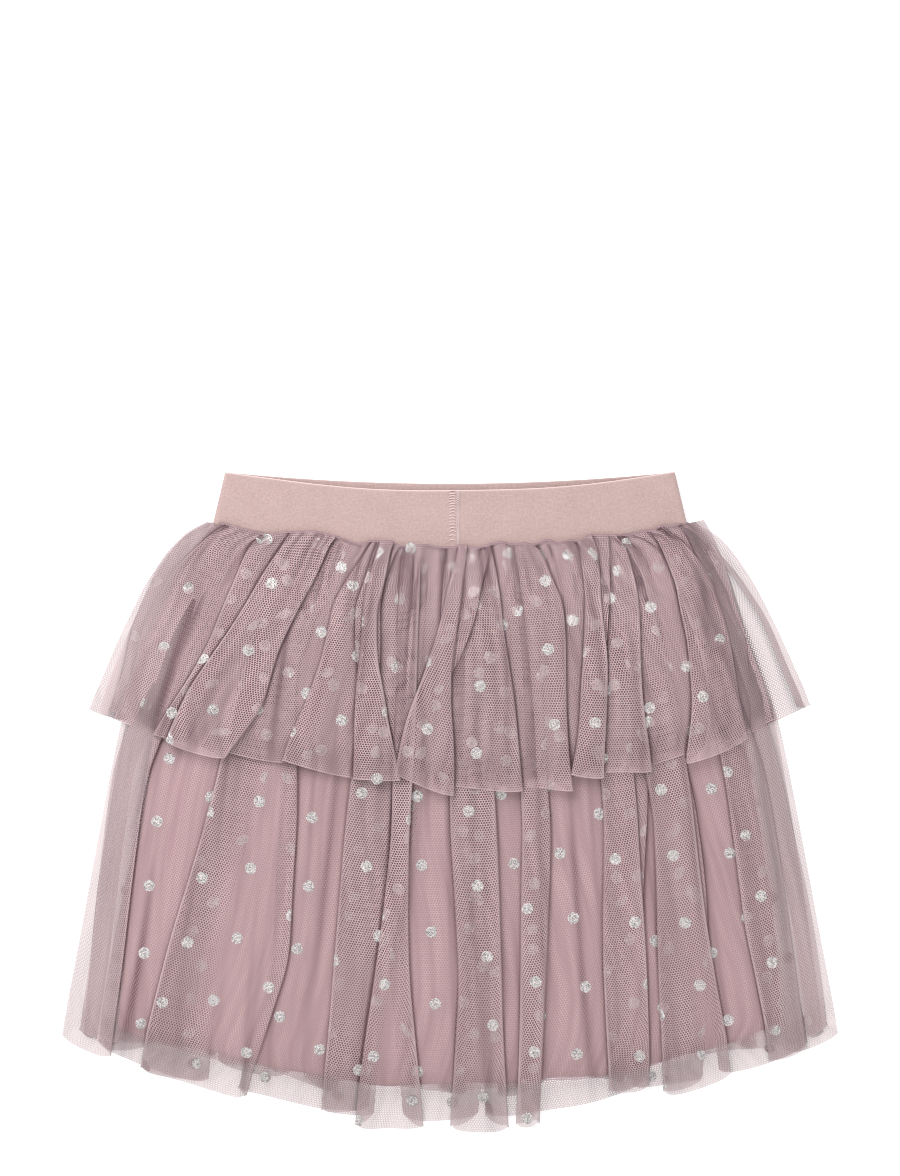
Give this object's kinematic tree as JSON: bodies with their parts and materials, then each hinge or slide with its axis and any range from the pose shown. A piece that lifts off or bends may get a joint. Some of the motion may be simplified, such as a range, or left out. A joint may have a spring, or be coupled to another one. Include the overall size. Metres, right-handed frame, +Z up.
{
  "type": "tulle skirt",
  "caption": "Child's pull-on skirt of two gathered net tiers over a plain lining, with an elastic waistband, laid flat.",
  "frame": {"origin": "on the surface that the skirt lies on, under the middle of its outline", "axes": "+Z up out of the skirt's front, +Y towards the waistband, +X to the right as the skirt lies front up"},
  "size_m": [0.419, 0.3548, 0.0242],
  "materials": {
    "elastic": "soft matt ribbed elastic, dusty pink",
    "seam_thread": "slightly shiny pale pink overlock thread",
    "net": "soft hexagonal net, mauve pink, half open",
    "lining": "matt opaque fine jersey, light dusty pink",
    "glitter": "silver glitter dots printed on the net"
  },
  "bodies": {
    "root": {"waistband": "elastic", "waistband_seam": "seam_thread", "top_tier_front": "net", "top_tier_back": "net", "lower_tier_front": "net", "lower_tier_back": "net", "lining_front": "lining", "lining_back": "lining"}
  },
  "joints": []
}
